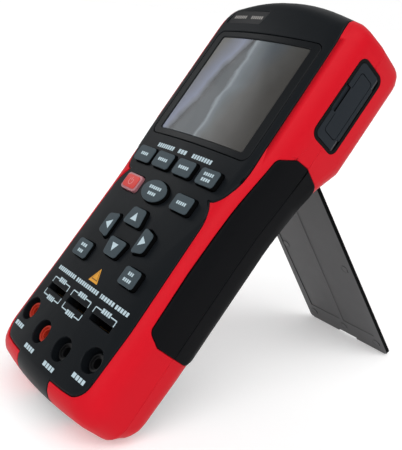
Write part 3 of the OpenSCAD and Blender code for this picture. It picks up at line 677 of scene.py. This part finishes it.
def keyShape(kind, width, height, bottom, top, edge):
    shape = bmesh.new()
    if kind == "oval":
        bmesh.ops.create_circle(shape, cap_ends=True, segments=64, radius=0.5)
        bmesh.ops.scale(shape, vec=(width, height, 1), verts=shape.verts)
    else:
        shape.faces.new([shape.verts.new((x, y, 0)) for x, y in keyOutline(kind, width, height)])
        bmesh.ops.bevel(
            shape, geom=shape.verts[:], offset=keyCaps["corner"], segments=6,
            affect="VERTICES", profile=0.5, material=-1,
        )
    raised = bmesh.ops.extrude_face_region(shape, geom=shape.faces[:])
    topVerts = [item for item in raised["geom"] if isinstance(item, bmesh.types.BMVert)]
    bmesh.ops.translate(shape, vec=(0, 0, bottom), verts=shape.verts)
    bmesh.ops.translate(shape, vec=(0, 0, top - bottom), verts=topVerts)
    topEdges = [side for side in shape.edges if all(end in topVerts for end in side.verts)]
    bmesh.ops.bevel(
        shape, geom=topEdges, offset=edge, segments=4, affect="EDGES", profile=0.5, material=-1
    )
    bmesh.ops.recalc_face_normals(shape, faces=shape.faces)
    return shape


keyKinds = {
    "key_freq": "box",
    "key_level": "box",
    "key_speed": "box",
    "key_secondary": "box",
    "key_auto": "oval",
    "key_lcrz": "box",
    "key_up": "up",
    "key_down": "down",
    "key_left": "left",
    "key_right": "right",
    "key_hold": "box",
    "key_relative": "box",
}


def placeOnPanel(shape, x, y):
    bmesh.ops.translate(shape, vec=(x, y, 0), verts=shape.verts)
    bmesh.ops.transform(shape, matrix=toWorld, verts=shape.verts)


for node, kind in keyKinds.items():
    low, high = panelBox(node)
    x, y = (low.x + high.x) / 2, (low.y + high.y) / 2
    fullWidth, fullHeight = high.x - low.x, high.y - low.y
    width, height = fullWidth - 2 * keyCaps["flange"], fullHeight - 2 * keyCaps["flange"]
    cap = keyShape(kind, width, height, high.z - keyCaps["cap"], high.z, keyCaps["edge"])
    skirt = keyShape(
        kind, width - 2 * keyCaps["skirtGap"], height - 2 * keyCaps["skirtGap"],
        low.z + keyCaps["foot"] / 2, high.z - keyCaps["cap"] / 2, keyCaps["skirtEdge"],
    )
    flange = keyShape(kind, fullWidth, fullHeight, low.z, low.z + keyCaps["foot"], keyCaps["skirtEdge"])
    flangeMesh = bpy.data.meshes.new("flange")
    flange.to_mesh(flangeMesh)
    flange.free()
    skirt.from_mesh(flangeMesh)
    for shape in (cap, skirt):
        placeOnPanel(shape, x, y)
        shadeByAngle(shape, 35)
    capPiece = addPiece(node + "Cap", cap, keySlate, bodyOf[node])
    skirtPiece = addPiece(node + "Skirt", skirt, skirtBlackAndPaintedShade, bodyOf[node])
    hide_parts(node)
    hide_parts(node)
print("keys made:", len(keyKinds))

# Power key: a red face in a translucent rim
powerKey = {"rimEdge": 0.5, "faceDepth": 0.4, "faceEdge": 0.15}
rimLow, rimHigh = panelBox("power_key_glow")
powerX, powerY = (rimLow.x + rimHigh.x) / 2, (rimLow.y + rimHigh.y) / 2
rimWidth = rimHigh.x - rimLow.x - 2 * keyCaps["flange"]
rimHeight = rimHigh.y - rimLow.y - 2 * keyCaps["flange"]
rimShape = keyShape("box", rimWidth, rimHeight, rimLow.z + keyCaps["foot"], rimHigh.z, powerKey["rimEdge"])
placeOnPanel(rimShape, powerX, powerY)
shadeByAngle(rimShape, 35)
rimPiece = addPiece("powerKeyRim", rimShape, keyRim, bodyOf["power_key_glow"])
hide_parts("power_key_glow")
faceLow, faceHigh = panelBox("key_power")
faceShape = keyShape(
    "box", faceHigh.x - faceLow.x, faceHigh.y - faceLow.y,
    rimHigh.z - powerKey["faceDepth"], faceHigh.z, powerKey["faceEdge"],
)
placeOnPanel(faceShape, powerX, powerY)
shadeByAngle(faceShape, 35)
facePiece = addPiece("powerKeyFace", faceShape, keyRed, bodyOf["key_power"])
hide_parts("key_power")
print("power key made")

# Printed marks: a row of plain dashes stands where a word would be
inkSetup = {"thickness": 0.03, "lift": 0.02, "step": 3.0}
shellTree = meshTree("front_shell", "name_plate")


def heightAt(x, y):
    start = toWorld @ Vector((x, y, 30))
    hit = shellTree.ray_cast(start, -outward)[0]
    return (toPanel @ hit).z if hit else 0.0


def barShape(shape, x, y, width, height, turn=0.0):
    steps = max(1, round(width / inkSetup["step"]))
    made = bmesh.ops.create_grid(shape, x_segments=steps, y_segments=1, size=0.5)
    bmesh.ops.scale(shape, vec=(width, height, 1), verts=made["verts"])
    bmesh.ops.rotate(shape, matrix=Matrix.Rotation(math.radians(turn), 3, "Z"), verts=made["verts"])
    bmesh.ops.translate(shape, vec=(x, y, 0), verts=made["verts"])


def triangleShape(shape, x, y, width, height, turn=0.0):
    made = bmesh.ops.create_circle(shape, cap_ends=True, segments=3, radius=1)
    bmesh.ops.scale(shape, vec=(width / math.sqrt(3), height / 1.5, 1), verts=made["verts"])
    bmesh.ops.translate(shape, vec=(0, -height / 6, 0), verts=made["verts"])
    bmesh.ops.rotate(shape, matrix=Matrix.Rotation(math.radians(turn), 3, "Z"), verts=made["verts"])
    bmesh.ops.translate(shape, vec=(x, y, 0), verts=made["verts"])


# Lays flat ink on the panel, or on a flat key top when a height is given
def printInk(name, shape, ink, body, flatTop=None, layer=0):
    for vertex in shape.verts:
        base = heightAt(vertex.co.x, vertex.co.y) if flatTop is None else flatTop
        vertex.co.z = base + inkSetup["lift"] + layer * inkSetup["thickness"]
    raised = bmesh.ops.extrude_face_region(shape, geom=shape.faces[:])
    topVerts = [item for item in raised["geom"] if isinstance(item, bmesh.types.BMVert)]
    bmesh.ops.translate(shape, vec=(0, 0, inkSetup["thickness"]), verts=topVerts)
    bmesh.ops.recalc_face_normals(shape, faces=shape.faces)
    bmesh.ops.transform(shape, matrix=toWorld, verts=shape.verts)
    return addPiece(name, shape, ink, body)


def wordDashes(shape, x, y, widths, height, gap):
    left = x - (sum(widths) + gap * (len(widths) - 1)) / 2
    for width in widths:
        barShape(shape, left + width / 2, y, width, height)
        left += width + gap


# As many equal dashes as fill the width of a word
def fillWord(width, look):
    count = max(look.get("fewest", 1), round(width / look["pitch"]))
    return [(width - look["gap"] * (count - 1)) / count] * count


keyLegend = {"pitch": 1.4, "gap": 0.42, "height": 1.5, "fewest": 2}
keyMarks = {
    "key_freq": [(0, 5.2)],
    "key_level": [(0, 6.6)],
    "key_speed": [(0, 6.8)],
    "key_secondary": [(1.3, 6.4), (-1.3, 5.6)],
    "key_auto": [(1.4, 8.6), (-1.6, 5.6)],
    "key_lcrz": [(0, 6.4)],
    "key_hold": [(1.5, 4.6), (-1.5, 3.8)],
    "key_relative": [(1.5, 3.6), (-1.5, 5.4)],
}
for node, lines in keyMarks.items():
    low, high = panelBox(node)
    shape = bmesh.new()
    for lift, width in lines:
        wordDashes(
            shape, (low.x + high.x) / 2, (low.y + high.y) / 2 + lift,
            fillWord(width, keyLegend), keyLegend["height"], keyLegend["gap"],
        )
    printInk(node + "Marks", shape, paleInk, bodyOf[node], high.z)

arrowMark = {"width": 4.6, "height": 3.8}
arrowTurns = {"key_up": 0, "key_left": 90, "key_down": 180, "key_right": -90}
for node, turn in arrowTurns.items():
    low, high = panelBox(node)
    shape = bmesh.new()
    triangleShape(
        shape, (low.x + high.x) / 2, (low.y + high.y) / 2, arrowMark["width"], arrowMark["height"], turn
    )
    printInk(node + "Arrow", shape, paleInk, bodyOf[node], high.z)

# Open ring and bar on the power key
powerMark = bmesh.new()
ring = {"radius": 1.55, "width": 0.32, "open": 38, "steps": 20, "overlap": 1.15, "bar": 1.7, "barLift": 1.2}
sweep = 360 - 2 * ring["open"]
stepLength = math.radians(sweep) * ring["radius"] / ring["steps"] * ring["overlap"]
for step in range(ring["steps"]):
    turn = 90 + ring["open"] + sweep * (step + 0.5) / ring["steps"]
    barShape(
        powerMark, powerX + ring["radius"] * math.cos(math.radians(turn)),
        powerY + ring["radius"] * math.sin(math.radians(turn)), stepLength, ring["width"], turn + 90,
    )
barShape(powerMark, powerX, powerY + ring["barLift"], ring["width"], ring["bar"])
powerInk = flatInk("powerInk", (0.62, 0.22, 0.22), 0.5)
printInk("powerMark", powerMark, powerInk, bodyOf["key_power"], faceHigh.z)

# Words are given as the middle and the width of each
panelRows = {
    "titleMarks": {
        "y": 14.1, "height": 2.1, "pitch": 1.75, "gap": 0.5,
        "words": ((-15.2, 13.4), (-1.6, 6.0), (12.6, 13.2)),
    },
    "noticeMarks": {
        "y": -56.7, "height": 1.9, "pitch": 1.7, "gap": 0.5,
        "words": ((-21.5, 17.5), (-1.6, 19.0), (15.0, 11.0), (26.3, 9.0)),
    },
}
for name, row in panelRows.items():
    shape = bmesh.new()
    for centre, width in row["words"]:
        wordDashes(shape, centre, row["y"], fillWord(width, row), row["height"], row["gap"])
    printInk(name, shape, paleInk, "meter")

# Plain amber triangle with a dark line inside its edge
notice = {"y": -50.7, "width": 7.4, "height": 6.7, "lineOuter": 0.66, "lineInner": 0.52}
darkInk = flatInk("darkInk", (0.16, 0.065, 0.004), 0.5)
triangles = (
    ("noticeTriangle", 1, amberInk), ("noticeTriangle1", notice["lineOuter"], darkInk),
    ("noticeTriangle2", notice["lineInner"], amberInk),
)
for layer, (name, size, ink) in enumerate(triangles):
    shape = bmesh.new()
    triangleShape(shape, 0, notice["y"], notice["width"] * size, notice["height"] * size)
    printInk(name, shape, ink, "meter", layer=layer)

# Words on the plate are given as parts of its length
plateRow = {"height": 1.7, "pitch": 1.3, "gap": 0.4, "words": ((0.3, 0.34), (0.76, 0.3))}
plateMarks = bmesh.new()
plateLow, plateHigh = panelBox("name_plate")
plateLength = plateHigh.x - plateLow.x
for centre, width in plateRow["words"]:
    wordDashes(
        plateMarks, plateLow.x + centre * plateLength, (plateLow.y + plateHigh.y) / 2,
        fillWord(width * plateLength, plateRow), plateRow["height"], plateRow["gap"],
    )
printInk("plateMarks", plateMarks, flatInk("silverInk", (0.2, 0.19, 0.18), 0.4), "meter")

# Bracket lines over and under the test slots, with none under the right one
brackets = {
    "line": 0.5, "reach": 7.8, "tick": 2.6, "label": 7.0, "pitch": 19.7, "lift": 4.4,
    "wordLift": 0.2, "word": [1.6, 1.15, 1.15, 1.15], "wordHeight": 2.1, "gap": 0.4,
}
slotMarks = bmesh.new()
slotLow, slotHigh = panelBox("slot_contacts")
slotY = (slotLow.y + slotHigh.y) / 2
stub = brackets["reach"] - brackets["label"] / 2
for column, side in ((-1, 1), (-1, -1), (0, 1), (0, -1), (1, 1)):
    middle = column * brackets["pitch"]
    lineY = slotY + side * brackets["lift"]
    for end in (-1, 1):
        barShape(slotMarks, middle + end * (brackets["reach"] - stub / 2), lineY, stub, brackets["line"])
        barShape(
            slotMarks, middle + end * brackets["reach"], lineY - side * brackets["tick"] / 2,
            brackets["line"], brackets["tick"],
        )
    wordDashes(
        slotMarks, middle, lineY + side * brackets["wordLift"],
        brackets["word"], brackets["wordHeight"], brackets["gap"],
    )
printInk("slotMarks", slotMarks, paleInk, "meter")

socketLabel = {"below": 8.6, "word": [2.2, 1.6, 1.6, 1.6], "height": 2.0, "gap": 0.5}
socketMarks = bmesh.new()
for mount in mounts.values():
    spot = toPanel @ Vector(mount["pos_m"])
    wordDashes(
        socketMarks, spot.x, spot.y - socketLabel["below"],
        socketLabel["word"], socketLabel["height"], socketLabel["gap"],
    )
printInk("socketMarks", socketMarks, paleInk, "meter")
print("marks printed")

# A wide pale floor that keeps its own brightness where the meter shades it
floorSetup = {"size": 30, "tone": (0.75, 0.75, 0.75), "roughness": 0.9, "glow": 0.42}
floorShape = bmesh.new()
bmesh.ops.create_grid(floorShape, x_segments=1, y_segments=1, size=floorSetup["size"])
floorMesh = bpy.data.meshes.new("floor")
floorShape.to_mesh(floorMesh)
floorShape.free()
floorMesh.materials.append(
    flatInk("paleFloor", floorSetup["tone"], floorSetup["roughness"], floorSetup["glow"])
)
floorPiece = bpy.data.objects.new("floor", floorMesh)
bpy.context.collection.objects.link(floorPiece)

studioLights = {
    "keyLight": {"from": (1.0, -0.15, 1.5), "spread": 60, "power": 1.7},
    "frontLight": {"from": (0.6, -1.3, 1.2), "spread": 50, "power": 0.95},
    "backLight": {"from": (-0.6, 1.0, 1.4), "spread": 60, "power": 0.4},
}
windowLamp = {"from": (-1.0, -0.42, 0.75), "size": 0.45, "power": 1.6}
aim = (cadLow + cadHigh) / 2


def placeLight(light, spot):
    lamp = bpy.data.objects.new(light.name, light)
    bpy.context.collection.objects.link(lamp)
    lamp.location = spot
    lamp.rotation_mode = "QUATERNION"
    lamp.rotation_quaternion = (aim - Vector(spot)).to_track_quat("-Z", "Y")


for name, setup in studioLights.items():
    light = bpy.data.lights.new(name, "SUN")
    light.angle = math.radians(setup["spread"])
    light.energy = setup["power"]
    placeLight(light, setup["from"])
windowLight = bpy.data.lights.new("windowLight", "AREA")
windowLight.size = windowLamp["size"]
windowLight.energy = windowLamp["power"]
placeLight(windowLight, windowLamp["from"])

skySetup = {"horizon": 1.0, "overhead": 0.3, "fadeFrom": 0.03, "fadeTo": 0.2}
world = bpy.data.worlds.new("studio")
bpy.context.scene.world = world
world.use_nodes = True
sky = world.node_tree.nodes
skyLinks = world.node_tree.links
sky.clear()
skyPlace = sky.new("ShaderNodeTexCoord")
skyPlace.label = "Direction of the sky"
skyPlace.location = (-800, 0)
skySplit = sky.new("ShaderNodeSeparateXYZ")
skySplit.label = "Height above the horizon"
skySplit.location = (-600, 0)
skyRange = sky.new("ShaderNodeMapRange")
skyRange.label = "Bright horizon, dimmer above"
skyRange.location = (-400, 0)
skyRange.inputs["From Min"].default_value = skySetup["fadeFrom"]
skyRange.inputs["From Max"].default_value = skySetup["fadeTo"]
skyRange.inputs["To Min"].default_value = skySetup["horizon"]
skyRange.inputs["To Max"].default_value = skySetup["overhead"]
skyLight = sky.new("ShaderNodeBackground")
skyLight.label = "Studio surround"
skyLight.inputs["Color"].default_value = (1, 1, 1, 1)
skyLight.location = (-150, 0)
skyOutput = sky.new("ShaderNodeOutputWorld")
skyOutput.label = "Studio"
skyOutput.location = (100, 0)
skyLinks.new(skyPlace.outputs["Generated"], skySplit.inputs["Vector"])
skyLinks.new(skySplit.outputs["Z"], skyRange.inputs["Value"])
skyLinks.new(skyRange.outputs["Result"], skyLight.inputs["Strength"])
skyLinks.new(skyLight.outputs["Background"], skyOutput.inputs["Surface"])
bpy.context.scene.view_settings.view_transform = "Standard"
print("studio lit")
